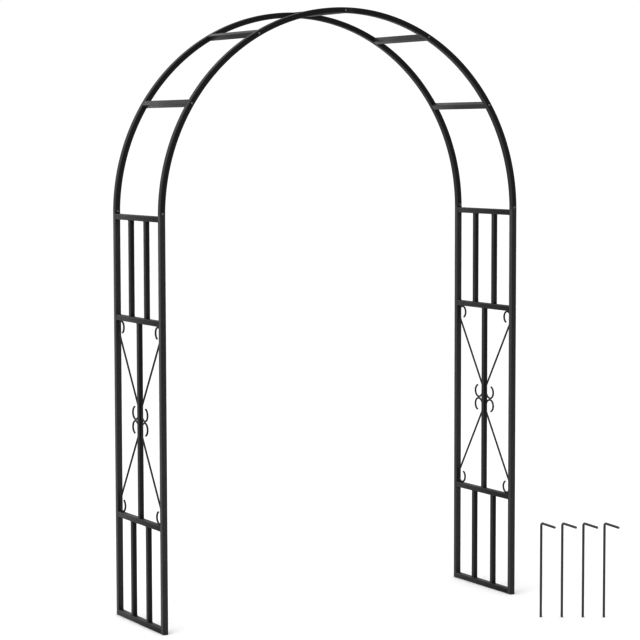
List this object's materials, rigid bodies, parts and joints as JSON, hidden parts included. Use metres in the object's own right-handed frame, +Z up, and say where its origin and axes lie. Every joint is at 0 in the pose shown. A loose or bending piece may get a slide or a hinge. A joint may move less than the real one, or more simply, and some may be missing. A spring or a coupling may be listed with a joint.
{
  "type": "metal garden trellis arch",
  "caption": "Free-standing round-topped trellis arch in black square tube: ladder panels with scroll infill, paired hoops joined by rungs, and separate L-shaped ground stakes.",
  "frame": {"origin": "bottom centre of the bounding box of the arch and its four stakes together, on the ground plane; the middle of the arch itself is at x -0.025 m, y 0.28125 m", "axes": "+X from the left panel to the right one, +Y from the front hoop to the rear one along the walkway, +Z up"},
  "size_m": [1.45, 0.9513, 2.091],
  "materials": {
    "frame_coat": "semi-gloss black powder coat",
    "stake_coat": "satin black coat on bent rod",
    "fasteners": "dark zinc-plated steel"
  },
  "bodies": {
    "arch": {"left_front_post": "frame_coat", "left_rear_post": "frame_coat", "right_front_post": "frame_coat", "right_rear_post": "frame_coat", "left_top_rail": "frame_coat", "left_upper_middle_rail": "frame_coat", "left_lower_middle_rail": "frame_coat", "left_bottom_rail": "frame_coat", "right_top_rail": "frame_coat", "right_upper_middle_rail": "frame_coat", "right_lower_middle_rail": "frame_coat", "right_bottom_rail": "frame_coat", "left_upper_front_bar": "frame_coat", "left_upper_rear_bar": "frame_coat", "left_lower_front_bar": "frame_coat", "left_lower_rear_bar": "frame_coat", "right_upper_front_bar": "frame_coat", "right_upper_rear_bar": "frame_coat", "right_lower_front_bar": "frame_coat", "right_lower_rear_bar": "frame_coat", "left_centre_bar": "frame_coat", "right_centre_bar": "frame_coat", "left_upper_front_scroll": "frame_coat", "left_upper_rear_scroll": "frame_coat", "left_lower_front_scroll": "frame_coat", "left_lower_rear_scroll": "frame_coat", "right_upper_front_scroll": "frame_coat", "right_upper_rear_scroll": "frame_coat", "right_lower_front_scroll": "frame_coat", "right_lower_rear_scroll": "frame_coat", "front_hoop_left_quarter": "frame_coat", "front_hoop_right_quarter": "frame_coat", "rear_hoop_left_quarter": "frame_coat", "rear_hoop_right_quarter": "frame_coat", "left_lower_rung": "frame_coat", "left_upper_rung": "frame_coat", "top_rung": "frame_coat", "right_upper_rung": "frame_coat", "right_lower_rung": "frame_coat", "post_screws": "fasteners", "front_rung_bolts": "fasteners", "rear_rung_bolts": "fasteners"},
    "stake_1": {"ground_stake_1": "stake_coat"},
    "stake_2": {"ground_stake_2": "stake_coat"},
    "stake_3": {"ground_stake_3": "stake_coat"},
    "stake_4": {"ground_stake_4": "stake_coat"}
  },
  "joints": [
    {"name": "stake_1_lift", "type": "slide", "parent": "arch", "child": "stake_1", "axis": [0, 0, 1], "range_m": [0, 0.4]},
    {"name": "stake_2_lift", "type": "slide", "parent": "arch", "child": "stake_2", "axis": [0, 0, 1], "range_m": [0, 0.4]},
    {"name": "stake_3_lift", "type": "slide", "parent": "arch", "child": "stake_3", "axis": [0, 0, 1], "range_m": [0, 0.4]},
    {"name": "stake_4_lift", "type": "slide", "parent": "arch", "child": "stake_4", "axis": [0, 0, 1], "range_m": [0, 0.4]}
  ]
}
